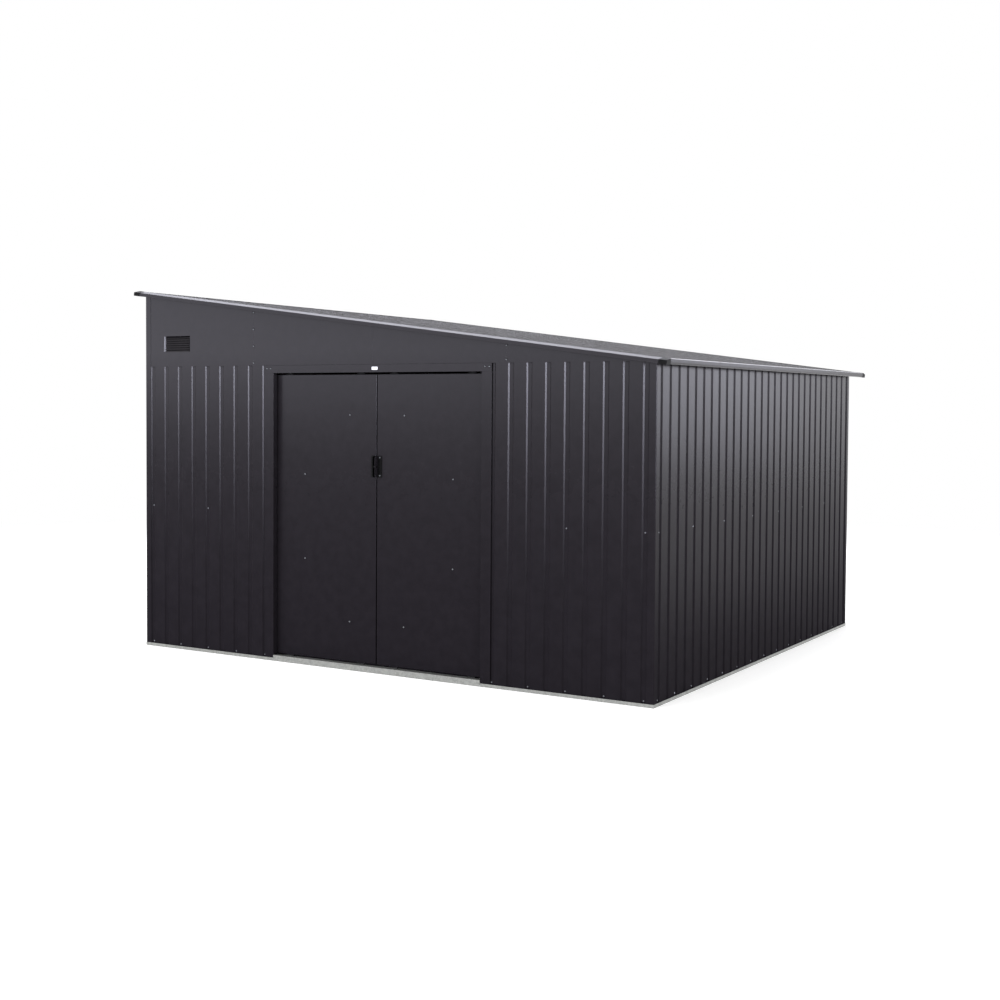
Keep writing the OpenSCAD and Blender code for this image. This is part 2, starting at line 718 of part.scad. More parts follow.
front_base_rails();
door_sill();
low_side_base_rail();
high_side_base_rail();
back_base_rail();
front_high_corner_post();
front_low_corner_post();
back_high_corner_post();
back_low_corner_post();
front_wall_left();
front_wall_right();
low_side_wall();
high_side_wall();
back_wall();
front_gable();
back_gable();
high_side_upper_wall();
front_vent();
back_vent();
door_header();
left_jamb();
right_jamb();
door_track();
door_guide_rail();
front_top_rail();
back_top_rail();
low_side_top_rail();
high_side_top_rail();
high_side_lap_rail();
front_rake_rail();
back_rake_rail();
front_mid_rails();
side_mid_rails();
back_mid_rail();
roof_beams();
roof_sheets();
front_verge_trim();
back_verge_trim();
low_eave_trim();
high_eave_trim();
roof_corner_caps();
left_door();
left_door_braces();
left_door_handle();
left_door_running_gear();
right_door();
right_door_braces();
right_door_handle();
right_door_running_gear();
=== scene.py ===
"""Looks of a lean-to metal storage shed: ribbed painted sheets on a galvanised base, with sliding doors."""

import math

import bmesh
import bpy
from mathutils import Matrix, Vector, noise


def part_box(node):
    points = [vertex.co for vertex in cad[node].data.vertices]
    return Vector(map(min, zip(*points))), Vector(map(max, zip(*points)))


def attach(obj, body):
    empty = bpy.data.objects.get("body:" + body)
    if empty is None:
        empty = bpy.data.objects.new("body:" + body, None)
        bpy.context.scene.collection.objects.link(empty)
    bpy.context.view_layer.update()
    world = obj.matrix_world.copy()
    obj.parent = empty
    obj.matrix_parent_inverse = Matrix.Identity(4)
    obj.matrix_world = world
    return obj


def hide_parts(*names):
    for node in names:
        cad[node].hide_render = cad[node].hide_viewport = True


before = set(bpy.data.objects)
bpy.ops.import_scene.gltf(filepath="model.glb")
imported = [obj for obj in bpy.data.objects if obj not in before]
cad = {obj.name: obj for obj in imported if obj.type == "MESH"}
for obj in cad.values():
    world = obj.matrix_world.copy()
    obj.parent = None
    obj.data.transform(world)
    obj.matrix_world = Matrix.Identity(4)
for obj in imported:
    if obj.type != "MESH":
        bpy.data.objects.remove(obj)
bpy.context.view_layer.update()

# Camera
# A normal lens at eye height, in front of the shed and to its right, level with the upper part of the
# doors. The photograph was cut out and centred again, so the lens axis lies a little off its middle.

photo_width = 1000
focal_length_px = 1428.6
lens_axis_px = Vector((466.8, 460.0))
eye = Vector((4.5564, -8.0740, 1.5006))
turn, tip, roll = (math.radians(a) for a in (31.53, 90 - 2.225, 0.326))

camera_data = bpy.data.cameras.new("camera")
camera_data.sensor_width = 36
camera_data.lens = camera_data.sensor_width * focal_length_px / photo_width
camera_data.shift_x = 0.5 - lens_axis_px.x / photo_width
camera_data.shift_y = lens_axis_px.y / photo_width - 0.5
camera = bpy.data.objects.new("camera", camera_data)
camera.matrix_world = (Matrix.Translation(eye) @ Matrix.Rotation(turn, 4, "Z")
                       @ Matrix.Rotation(tip, 4, "X") @ Matrix.Rotation(roll, 4, "Z"))
bpy.context.scene.collection.objects.link(camera)
bpy.context.scene.camera = camera

# Studio
# A matt white floor that runs out into an even white surround, under a broad overhead light. Softboxes
# stand round the shed, and two of them show only in reflections, as lines of light down the ribs.


def linear(hex_colour):
    """Turns an sRGB colour such as "3c3d44" to linear red, green, blue and alpha."""
    srgb = [int(hex_colour[i:i + 2], 16) / 255 for i in (0, 2, 4)]
    return [c / 12.92 if c <= 0.04045 else ((c + 0.055) / 1.055) ** 2.4 for c in srgb] + [1.0]


def add_node(tree, kind, sockets=(), **settings):
    """Adds a node, sets its properties, and gives its inputs a value or a link from another node."""
    node = tree.nodes.new(kind)
    for name, value in settings.items():
        setattr(node, name, value)
    for key, value in dict(sockets).items():
        if isinstance(value, bpy.types.NodeSocket):
            tree.links.new(value, node.inputs[key])
        else:
            node.inputs[key].default_value = value
    return node


def new_material(name):
    """An empty node material and its tree."""
    material = bpy.data.materials.new(name)
    material.use_nodes = True
    material.node_tree.nodes.clear()
    return material, material.node_tree


def add_piece(name, mesh, material):
    """Puts a mesh in the scene at the origin, with one material all over."""
    mesh.materials.clear()
    mesh.materials.append(material)
    piece = bpy.data.objects.new(name, mesh)
    bpy.context.scene.collection.objects.link(piece)
    return piece


def seen_ray(tree):
    """1 on rays that show a surface to the camera, straight or reflected, and 0 on the others."""
    path = add_node(tree, "ShaderNodeLightPath")
    seen = path.outputs["Is Camera Ray"]
    for ray in ("Is Glossy Ray", "Is Transmission Ray"):
        seen = add_node(tree, "ShaderNodeMath", {0: seen, 1: path.outputs[ray]},
                        operation="MAXIMUM").outputs[0]
    return seen


surround_strength = 0.65
bpy.context.scene.view_settings.view_transform = "Standard"
world = bpy.data.worlds.new("studio surround")
bpy.context.scene.world = world
world.use_nodes = True
tree = world.node_tree
tree.nodes.clear()
strength = add_node(tree, "ShaderNodeMapRange",
                    {"Value": seen_ray(tree), "To Min": surround_strength, "To Max": 1.0})
light = add_node(tree, "ShaderNodeBackground", {"Color": linear("ffffff"), "Strength": strength.outputs[0]})
add_node(tree, "ShaderNodeOutputWorld", {"Surface": light.outputs[0]})

floor_half = 60
painted_reach, surround_reach = 5.0, 10.0
# Seen outside the shed, the floor is lifted to white. Inside, it stays in the shade.
floor_lift = 0.44
shed_half_plan = (1.7, 1.6, 0)
lift_margin = (-0.1, 0.02)
floor_material, tree = new_material("matt white studio paint")
place = add_node(tree, "ShaderNodeTexCoord")
away = add_node(tree, "ShaderNodeVectorMath", {0: place.outputs["Object"]}, operation="LENGTH")
fade = add_node(tree, "ShaderNodeMapRange",
                {"Value": away.outputs["Value"], "From Min": painted_reach, "From Max": surround_reach},
                interpolation_type="SMOOTHSTEP")
paint = add_node(tree, "ShaderNodeBsdfDiffuse", {"Color": linear("f4f4f3")})
from_middle = add_node(tree, "ShaderNodeVectorMath", {0: place.outputs["Object"]}, operation="ABSOLUTE")
past_walls = add_node(tree, "ShaderNodeVectorMath", {0: from_middle.outputs[0], 1: shed_half_plan},
                      operation="SUBTRACT")
past_walls = add_node(tree, "ShaderNodeSeparateXYZ", {0: past_walls.outputs[0]})
past_walls = add_node(tree, "ShaderNodeMath", {0: past_walls.outputs["X"], 1: past_walls.outputs["Y"]},
                      operation="MAXIMUM")
lift = add_node(tree, "ShaderNodeMapRange",
                {"Value": past_walls.outputs[0], "From Min": lift_margin[0], "From Max": lift_margin[1],
                 "To Max": floor_lift})
lift = add_node(tree, "ShaderNodeMath", {0: seen_ray(tree), 1: lift.outputs[0]}, operation="MULTIPLY")
lift = add_node(tree, "ShaderNodeEmission", {"Color": linear("ffffff"), "Strength": lift.outputs[0]})
paint = add_node(tree, "ShaderNodeAddShader", {0: paint.outputs[0], 1: lift.outputs[0]})
glow = add_node(tree, "ShaderNodeEmission", {"Color": linear("ffffff"), "Strength": 1.0})
blend = add_node(tree, "ShaderNodeMixShader", {0: fade.outputs[0], 1: paint.outputs[0], 2: glow.outputs[0]})
add_node(tree, "ShaderNodeOutputMaterial", {"Surface": blend.outputs[0]})

floor_mesh = bpy.data.meshes.new("studio_floor")
floor_mesh.from_pydata([(-floor_half, -floor_half, 0), (floor_half, -floor_half, 0),
                        (floor_half, floor_half, 0), (-floor_half, floor_half, 0)], [], [(0, 1, 2, 3)])
add_piece("studio_floor", floor_mesh, floor_material)

sky_data = bpy.data.lights.new("overhead_light", "SUN")
sky_data.energy = 1.7
sky_data.angle = math.radians(45)
sky = bpy.data.objects.new("overhead_light", sky_data)
sky.rotation_euler = Vector((0.12, 0.06, -1.0)).to_track_quat("-Z", "Y").to_euler()
bpy.context.scene.collection.objects.link(sky)


def softbox(name, centre, target, width, height, radiance):
    """An upright area lamp of even brightness and a slightly cool white, turned to face a point."""
    data = bpy.data.lights.new(name, "AREA")
    data.shape = "RECTANGLE"
    data.size, data.size_y = width, height
    data.energy = radiance * math.pi * width * height
    data.color = linear("ebecff")[:3]
    lamp = bpy.data.objects.new(name, data)
    lamp.location = centre
    lamp.rotation_euler = (Vector(target) - Vector(centre)).to_track_quat("-Z", "Y").to_euler()
    lamp.visible_camera = False
    bpy.context.scene.collection.objects.link(lamp)
    return lamp


softbox("front_softbox", (-5.5, -10.0, 2.9), (0, -1.6, 2.9), 9.5, 3.8, 1.75)
key = softbox("key_softbox", (7.7, -8.8, 1.65), (0, -1.6, 1.65), 7.0, 3.3, 21.0)
key.visible_diffuse = False
side_key = softbox("side_key_softbox", (9.0, -0.5, 2.9), (1.7, -0.5, 2.9), 6.0, 2.2, 5.0)
side_key.visible_diffuse = False
softbox("side_softbox", (8.0, 11.5, 3.1), (1.7, 0, 3.1), 4.6, 5.0, 2.1)
softbox("back_softbox", (-4.0, 10.0, 7.0), (0, -0.5, 2.0), 15.0, 4.5, 2.4)

# Base channel
# The walls stand in a channel of galvanised steel, folded up at its outer edge and mitred at the corners.
# Hot-dip zinc leaves a dull grey skin with a faint pattern of crystals, a centimetre or so across.


def galvanised_steel():
    """Hot-dip zinc on steel: pale grey crystals that differ a little in tone and in gloss."""
    material, tree = new_material("galvanised steel")
    crystal_mm = 11
    place = add_node(tree, "ShaderNodeTexCoord")
    crystals = add_node(tree, "ShaderNodeTexVoronoi",
                        {"Vector": place.outputs["Object"], "Scale": 1000 / crystal_mm, "Randomness": 1.0})
    bloom_mm = 70
    bloom = add_node(tree, "ShaderNodeTexNoise",
                     {"Vector": place.outputs["Object"], "Scale": 1000 / bloom_mm, "Detail": 5,
                      "Roughness": 0.6})
    tone = add_node(tree, "ShaderNodeMix",
                    {"Factor": 0.45, 2: crystals.outputs["Color"], 3: bloom.outputs["Fac"]})
    colour = add_node(tree, "ShaderNodeValToRGB", {"Fac": tone.outputs[0]})
    for stop, position, grey in zip(colour.color_ramp.elements, (0.2, 0.85), ("8a8b87", "a9aaa6")):
        stop.position = position
        stop.color = linear(grey)
    gloss = add_node(tree, "ShaderNodeMapRange", {"Value": tone.outputs[0], "To Min": 0.5, "To Max": 0.36})
    dents = add_node(tree, "ShaderNodeBump",
                     {"Height": bloom.outputs["Fac"], "Strength": 0.12, "Distance": 0.002})
    zinc = add_node(tree, "ShaderNodeBsdfPrincipled",
                    {"Base Color": colour.outputs[0], "Metallic": 0.85, "Roughness": gloss.outputs[0],
                     "Normal": dents.outputs[0]})
    add_node(tree, "ShaderNodeOutputMaterial", {"Surface": zinc.outputs[0]})
    return material


def box_in(node, axes):
    """Lowest and highest corner of a CAD node, measured along other axes."""
    back = axes.inverted()
    points = [back @ v.co for v in cad[node].data.vertices]
    return (Vector(min(p[i] for p in points) for i in range(3)),
            Vector(max(p[i] for p in points) for i in range(3)))


def settled(piece):
    """Turns a piece with modifiers into a plain mesh."""
    graph = bpy.context.evaluated_depsgraph_get()
    mesh = bpy.data.meshes.new_from_object(piece.evaluated_get(graph))
    piece.modifiers.clear()
    piece.data = mesh
    return piece


def shaded(piece, crease=35):
    """Smooth shading that leaves broad faces flat and corners sharper than the crease angle crisp."""
    mesh = piece.data
    mesh.shade_smooth()
    mesh.set_sharp_from_angle(angle=math.radians(crease))
    flatten = piece.modifiers.new("normals", "WEIGHTED_NORMAL")
    flatten.keep_sharp = True
    return settled(piece)


def folded(node, body, material, fold=0.002, rim=0.0004, pressed=None):
    """A copy of a CAD node with its folds rounded as a press brake leaves them, and its cut rims eased.
    Roundings that run past a sharp mitre are held inside the node's box."""
    least_bend = math.radians(20)
    fold_breadths = 2.5
    inside_share = 0.4
    shape = bmesh.new()
    shape.from_mesh(cad[node].data)
    bmesh.ops.remove_doubles(shape, verts=shape.verts, dist=1e-6)
    bmesh.ops.dissolve_limit(shape, angle_limit=math.radians(0.5), verts=shape.verts, edges=shape.edges)
    if pressed:
        pressed(shape)
    weights = shape.edges.layers.float.new("bevel_weight_edge")
    for edge in shape.edges:
        if len(edge.link_faces) == 2 and edge.calc_face_angle() > least_bend:
            breadth = min(face.calc_area() / edge.calc_length() for face in edge.link_faces)
            outside = edge.calc_face_angle_signed() > 0
            is_fold = breadth > fold_breadths * fold
            edge[weights] = (1.0 if outside else inside_share) if is_fold else rim / fold
    mesh = bpy.data.meshes.new(node + "_formed")
    shape.to_mesh(mesh)
    shape.free()
    piece = add_piece(node + "_formed", mesh, material)
    rounding = piece.modifiers.new("folds", "BEVEL")
    rounding.limit_method = "WEIGHT"
    rounding.width = fold
    rounding.segments = 3
    rounding.use_clamp_overlap = True
    settled(piece)
    low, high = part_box(node)
    for vert in piece.data.vertices:
        vert.co = [min(max(c, a), b) for c, a, b in zip(vert.co, low, high)]
    shaded(piece)
    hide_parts(node)
    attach(piece, body)
    return piece


zinc = galvanised_steel()
for node in ("front_base_rails", "low_side_base_rail", "high_side_base_rail", "back_base_rail"):
    folded(node, "shed", zinc)

# Door sill
# A strip of galvanised sheet, folded down at its front and back. It lies across the doorway, between the
# two runs of base channel.

folded("door_sill", "shed", zinc)

# Wall sheets
# Roll-formed steel, painted anthracite before it was formed, with shallow grooves on a fixed pitch.
# Each sheet is four pitches wide, and its edges meet the next sheets' on the floors of grooves.


def painted_steel(name, colour, foot, top):
    """Polyester coil paint: a satin film over sheet that is never quite flat. Its shine and roughness are
    given for the foot of the walls and for their top; the shine that fades low down is painted shade in the
    reflections. Corners and creases get painted shade."""
    material, tree = new_material(name)
    place = add_node(tree, "ShaderNodeTexCoord")
    sway_mm = 320
    sway = add_node(tree, "ShaderNodeTexNoise",
                    {"Vector": place.outputs["Object"], "Scale": 1000 / sway_mm, "Detail": 1.5,
                     "Roughness": 0.4})
    cloud_mm = 60
    cloud = add_node(tree, "ShaderNodeTexNoise",
                     {"Vector": place.outputs["Object"], "Scale": 1000 / cloud_mm, "Detail": 4,
                      "Roughness": 0.55})
    tone = add_node(tree, "ShaderNodeValToRGB", {"Fac": cloud.outputs["Fac"]})
    for stop, position, share in zip(tone.color_ramp.elements, (0.35, 0.65), (0.93, 1.07)):
        stop.position = position
        stop.color = [c * share for c in linear(colour)[:3]] + [1.0]
    height = add_node(tree, "ShaderNodeSeparateXYZ", {0: place.outputs["Object"]})
    # The shine fades from the top of the walls to their foot, as painted shade in the reflections low down.
    # The roughness rises towards the foot.
    reflection_fade_top = 1.8
    height_share = add_node(tree, "ShaderNodeMapRange", {"Value": height.outputs["Z"], "From Max": reflection_fade_top})
    painted_reflection_fade = add_node(tree, "ShaderNodeMath", {0: height_share.outputs[0], 1: 2.7}, operation="POWER")
    # Painted shade: where other surfaces close round a spot, its colour is darkened towards near-black and
    # its shine is cut.
    painted_shade_mm = 14
    painted_corner_shade = add_node(tree, "ShaderNodeAmbientOcclusion", {"Distance": painted_shade_mm / 1000}, samples=8)
    out_of_painted_shade = add_node(tree, "ShaderNodeMapRange",
                    {"Value": painted_corner_shade.outputs["AO"], "From Min": 0.35, "From Max": 0.85, "To Min": 0.15})
    shine = add_node(tree, "ShaderNodeMapRange",
                     {"Value": painted_reflection_fade.outputs[0], "To Min": foot[0], "To Max": top[0]})
    shine = add_node(tree, "ShaderNodeMath", {0: shine.outputs[0], 1: out_of_painted_shade.outputs[0]},
                     operation="MULTIPLY")
    shade = add_node(tree, "ShaderNodeMix",
                     {"Factor": out_of_painted_shade.outputs[0], "A": linear("08080a"), "B": tone.outputs[0]},
                     data_type="RGBA")
    film = add_node(tree, "ShaderNodeMapRange",
                    {"Value": height_share.outputs[0], "To Min": foot[1], "To Max": top[1]})
    patch = add_node(tree, "ShaderNodeMapRange",
                     {"Value": cloud.outputs["Fac"], "To Min": 0.0, "To Max": 0.07})
    gloss = add_node(tree, "ShaderNodeMath", {0: film.outputs[0], 1: patch.outputs[0]}, operation="ADD")
    buckle = add_node(tree, "ShaderNodeBump",
                      {"Height": sway.outputs["Fac"], "Strength": 0.35, "Distance": 0.004})
    paint = add_node(tree, "ShaderNodeBsdfPrincipled",
                     {"Base Color": shade.outputs["Result"], "Roughness": gloss.outputs[0], "IOR": 1.33,
                      "Specular IOR Level": shine.outputs[0], "Normal": buckle.outputs[0]})
    add_node(tree, "ShaderNodeOutputMaterial", {"Surface": paint.outputs[0]})
    return material


rib_pitch = 0.110
groove_width = 0.036
groove_run = 0.007
groove_depth = 0.006
sheet_thickness = 0.0012
bend_radius = 0.0026
pitches_per_sheet = 4


def new_geometry_tree(name, sizes):
    """An empty Geometry Nodes tree with an input for each name, and the identifiers of those inputs."""
    tree = bpy.data.node_groups.new(name, "GeometryNodeTree")
    tree.interface.new_socket("Geometry", in_out="INPUT", socket_type="NodeSocketGeometry")
    tree.interface.new_socket("Geometry", in_out="OUTPUT", socket_type="NodeSocketGeometry")
    keys = {}
    for size, kind in sizes.items():
        keys[size] = tree.interface.new_socket(size, in_out="INPUT", socket_type=kind).identifier
    return tree, add_node(tree, "NodeGroupInput").outputs, keys


number, count, finish, arrow = "NodeSocketFloat", "NodeSocketInt", "NodeSocketMaterial", "NodeSocketVector"
ribs, given, rib_keys = new_geometry_tree("ribbed sheet", {
    "Pitch": number, "Groove width": number, "Groove run": number, "Groove depth": number,
    "Bend radius": number, "First groove": number, "Grooves": count, "Cut left": number,
    "Cut right": number, "Left end": number, "Right end": number, "Foot": number, "Top": number,
    "Paint": finish})
rank = add_node(ribs, "GeometryNodeInputIndex")
offset = add_node(ribs, "ShaderNodeMath", {0: rank.outputs[0], 1: 3.0}, operation="SUBTRACT")
step = add_node(ribs, "ShaderNodeMath", {0: offset.outputs[0]}, operation="ABSOLUTE")
side = add_node(ribs, "ShaderNodeMath", {0: offset.outputs[0]}, operation="SIGN")
half_groove = add_node(ribs, "ShaderNodeMath", {0: given["Groove width"], 1: 0.5}, operation="MULTIPLY")
half_floor = add_node(ribs, "ShaderNodeMath", {0: half_groove.outputs[0], 1: given["Groove run"]},
                      operation="SUBTRACT")
half_pitch = add_node(ribs, "ShaderNodeMath", {0: given["Pitch"], 1: 0.5}, operation="MULTIPLY")
reach = add_node(ribs, "GeometryNodeIndexSwitch", data_type="FLOAT")
while len(reach.index_switch_items) < 4:
    reach.index_switch_items.new()
ribs.links.new(step.outputs[0], reach.inputs["Index"])
for place, half in enumerate((None, half_floor, half_groove, half_pitch)):
    if half:
        ribs.links.new(half.outputs[0], reach.inputs[place + 1])
across = add_node(ribs, "ShaderNodeMath", {0: reach.outputs[0], 1: side.outputs[0]}, operation="MULTIPLY")
on_floor = add_node(ribs, "ShaderNodeMath", {0: step.outputs[0], 1: 1.5}, operation="LESS_THAN")
inward = add_node(ribs, "ShaderNodeMath", {0: on_floor.outputs[0], 1: given["Groove depth"]},
                  operation="MULTIPLY")
corner = add_node(ribs, "ShaderNodeCombineXYZ", {"X": across.outputs[0], "Y": inward.outputs[0]})
chain = add_node(ribs, "GeometryNodeMeshLine", {"Count": 7})
chain = add_node(ribs, "GeometryNodeSetPosition",
                 {"Geometry": chain.outputs[0], "Position": corner.outputs[0]})
chain = add_node(ribs, "GeometryNodeMeshToCurve", {"Mesh": chain.outputs[0]})
chain = add_node(ribs, "GeometryNodeFilletCurve",
                 {"Curve": chain.outputs[0], "Count": 4, "Radius": given["Bend radius"],
                  "Limit Radius": True},
                 mode="POLY")
start = add_node(ribs, "ShaderNodeCombineXYZ", {"X": given["First groove"]})
stride = add_node(ribs, "ShaderNodeCombineXYZ", {"X": given["Pitch"]})
row = add_node(ribs, "GeometryNodeMeshLine",
               {"Count": given["Grooves"], "Start Location": start.outputs[0], "Offset": stride.outputs[0]})
row = add_node(ribs, "GeometryNodeInstanceOnPoints",
               {"Points": row.outputs[0], "Instance": chain.outputs[0]})
row = add_node(ribs, "GeometryNodeRealizeInstances", {"Geometry": row.outputs[0]})
row = add_node(ribs, "GeometryNodeCurveToMesh", {"Curve": row.outputs[0]})
row = add_node(ribs, "GeometryNodeMergeByDistance", {"Geometry": row.outputs[0], "Distance": 0.00002})
here = add_node(ribs, "GeometryNodeInputPosition")
here = add_node(ribs, "ShaderNodeSeparateXYZ", {0: here.outputs[0]})
too_left = add_node(ribs, "FunctionNodeCompare", {0: here.outputs["X"], 1: given["Cut left"]},
                    operation="LESS_THAN")
too_right = add_node(ribs, "FunctionNodeCompare", {0: here.outputs["X"], 1: given["Cut right"]},
                     operation="GREATER_THAN")
outside = add_node(ribs, "FunctionNodeBooleanMath", {0: too_left.outputs[0], 1: too_right.outputs[0]},
                   operation="OR")
row = add_node(ribs, "GeometryNodeDeleteGeometry",
               {"Geometry": row.outputs[0], "Selection": outside.outputs[0]})
span = add_node(ribs, "GeometryNodeAttributeStatistic",
                {"Geometry": row.outputs[0], "Attribute": here.outputs["X"]})
hair = 0.0005
for end, outermost, sign, compare in (("Left end", "Min", 1, "LESS_THAN"),
                                      ("Right end", "Max", -1, "GREATER_THAN")):
    limit = add_node(ribs, "ShaderNodeMath", {0: span.outputs[outermost], 1: sign * hair}, operation="ADD")
    is_end = add_node(ribs, "FunctionNodeCompare", {0: here.outputs["X"], 1: limit.outputs[0]},
                      operation=compare)
    moved = add_node(ribs, "ShaderNodeCombineXYZ", {"X": given[end], "Y": here.outputs["Y"]})
    row = add_node(ribs, "GeometryNodeSetPosition",
                   {"Geometry": row.outputs[0], "Selection": is_end.outputs[0],
                    "Position": moved.outputs[0]})
foot = add_node(ribs, "ShaderNodeCombineXYZ", {"Z": given["Foot"]})
row = add_node(ribs, "GeometryNodeSetPosition", {"Geometry": row.outputs[0], "Offset": foot.outputs[0]})
tall = add_node(ribs, "ShaderNodeMath", {0: given["Top"], 1: given["Foot"]}, operation="SUBTRACT")
rise = add_node(ribs, "ShaderNodeCombineXYZ", {"Z": tall.outputs[0]})
sheet = add_node(ribs, "GeometryNodeExtrudeMesh", {"Mesh": row.outputs[0], "Offset": rise.outputs[0]},
                 mode="EDGES")
sheet = add_node(ribs, "GeometryNodeSetMaterial",
                 {"Geometry": sheet.outputs[0], "Material": given["Paint"]})
add_node(ribs, "NodeGroupOutput", {"Geometry": sheet.outputs[0]})


def grown(name, tree, keys, values, mesh=None):
    """An object whose mesh the tree makes from the values, and from the mesh where one is given."""
    piece = bpy.data.objects.new(name, mesh or bpy.data.meshes.new(name))
    bpy.context.scene.collection.objects.link(piece)
    modifier = piece.modifiers.new("shape", "NODES")
    modifier.node_group = tree
    for size, value in values.items():
        modifier[keys[size]] = value
    return piece


def build_sheets(node, axes, grooves, seams, run, depth, paint):
    """Ribbed sheets side by side in place of a CAD node, along X in the given axes, with Y inwards."""
    low, high = box_in(node, axes)
    seam_gap = 0.00002
    joined = bmesh.new()
    edges = [None, *seams, None]
    for left, right in zip(edges, edges[1:]):
        first = 0 if left is None else left
        last = len(grooves) - 1 if right is None else right
        piece = grown(node + "_sheet", ribs, rib_keys, {
            "Pitch": rib_pitch, "Groove width": groove_width, "Groove run": run,
            "Groove depth": depth, "Bend radius": bend_radius,
            "First groove": grooves[first], "Grooves": last - first + 1,
            "Cut left": low.x - 1 if left is None else grooves[left] - hair,
            "Cut right": high.x + 1 if right is None else grooves[right] + hair,
            "Left end": low.x if left is None else grooves[left] + seam_gap,
            "Right end": high.x if right is None else grooves[right] - seam_gap,
            "Foot": low.z, "Top": high.z, "Paint": paint})
        thickness = piece.modifiers.new("thickness", "SOLIDIFY")
        thickness.thickness = sheet_thickness
        thickness.offset = -1
        thickness.use_even_offset = True
        settled(piece)
        joined.from_mesh(piece.data)
        bpy.data.objects.remove(piece)
    joined.transform(axes)
    mesh = bpy.data.meshes.new(node + "_ribbed")
    joined.to_mesh(mesh)
    joined.free()
    wall = shaded(add_piece(node + "_ribbed", mesh, paint))
    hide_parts(node)
    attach(wall, "shed")
    return wall


anthracite = painted_steel("anthracite coil paint", "2a272c", foot=(0.005, 0.34), top=(0.5, 0.17))
seat_gap = 0.0002
rail_thickness = 0.0015
corner_inset = groove_depth + sheet_thickness + seat_gap + rail_thickness
x_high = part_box("front_wall_left")[0].x - corner_inset
x_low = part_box("front_wall_right")[1].x + corner_inset
y_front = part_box("front_wall_left")[0].y
y_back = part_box("back_wall")[1].y
shed_width = x_low - x_high
shed_depth = y_back - y_front
front_axes = Matrix.Translation((x_high, y_front, 0))
low_side_axes = Matrix.Translation((x_low, y_front, 0)) @ Matrix.Rotation(math.radians(90), 4, "Z")
back_axes = Matrix.Translation((x_low, y_back, 0)) @ Matrix.Rotation(math.radians(180), 4, "Z")
high_side_axes = Matrix.Translation((x_high, y_back, 0)) @ Matrix.Rotation(math.radians(-90), 4, "Z")


def groove_row(length):
    """Middles of the grooves along a wall, with even margins at its corners."""
    n = int(length / rib_pitch + 1e-4)
    margin = (length - (n - 1) * rib_pitch) / 2
    return [margin + k * rib_pitch for k in range(n)]


def seam_row(grooves):
    """Ranks of the grooves in which two sheets meet."""
    return list(range(pitches_per_sheet, len(grooves) - 1, pitches_per_sheet))


front_row = groove_row(shed_width)
side_row = groove_row(shed_depth)
left_end = box_in("front_wall_left", front_axes)[1].x
front_left_row = [x for x in front_row if x + groove_width / 2 + sheet_thickness < left_end]
front_right_row = [shed_width - x for x in reversed(front_left_row)]
front_left_seams = seam_row(front_left_row)
front_right_seams = [len(front_left_row) - 1 - k for k in reversed(front_left_seams)]
build_sheets("front_wall_left", front_axes, front_left_row, front_left_seams, groove_run, groove_depth,
             anthracite)
build_sheets("front_wall_right", front_axes, front_right_row, front_right_seams, groove_run, groove_depth,
             anthracite)
for node, axes, row_of_grooves in (("low_side_wall", low_side_axes, side_row),
                                   ("back_wall", back_axes, front_row),
                                   ("high_side_wall", high_side_axes, side_row)):
    build_sheets(node, axes, row_of_grooves, seam_row(row_of_grooves), groove_run, groove_depth, anthracite)

# Corner posts
# Angles of painted sheet steel, folded along their length. They cover the ends of the wall sheets at each
# corner, from the base to the roof.

for node in ("front_high_corner_post", "front_low_corner_post", "back_high_corner_post",
             "back_low_corner_post"):
    folded(node, "shed", anthracite, fold=0.003)

# Gables and upper wall
# Plain sheets of painted steel over the ribbed ones, at the front, the back and the high side. Those of
# the gables are cut to the slope of the roof, and screws hold them along their seams.

for node in ("front_gable", "back_gable", "high_side_upper_wall"):
    folded(node, "shed", anthracite)

# Vents
# Louvres pressed from painted sheet steel, with seven slats each. They are set in the gable sheets and
# held by a collar behind.

for node in ("front_vent", "back_vent"):
    folded(node, "shed", anthracite, fold=0.0008, rim=0.0003)

# Door surround
# Two jambs and a header of painted sheet steel. The jambs' edges are turned in, and the header is screwed
# on over them and hides the track.

for node in ("left_jamb", "right_jamb", "door_header"):
    folded(node, "shed", anthracite)

# Plate on the header
# A small blank plate with rounded corners, cut from rolled aluminium sheet. It is stuck to the middle of
# the header.


def aluminium():
    """Rolled aluminium, bright, with fine lines along the rolling direction."""
    material, tree = new_material("rolled aluminium")
    place = add_node(tree, "ShaderNodeTexCoord")
    line_mm = 0.6
    stretched = add_node(tree, "ShaderNodeMapping",
                         {"Vector": place.outputs["Object"], "Scale": (0.02, 1, 1)})
    lines = add_node(tree, "ShaderNodeTexNoise",
                     {"Vector": stretched.outputs[0], "Scale": 1000 / line_mm, "Detail": 2})
    gloss = add_node(tree, "ShaderNodeMapRange",
                     {"Value": lines.outputs["Fac"], "To Min": 0.25, "To Max": 0.45})
    metal = add_node(tree, "ShaderNodeBsdfPrincipled",
                     {"Base Color": linear("e3e4e6"), "Metallic": 1.0, "Roughness": gloss.outputs[0]})
    add_node(tree, "ShaderNodeOutputMaterial", {"Surface": metal.outputs[0]})
    return material


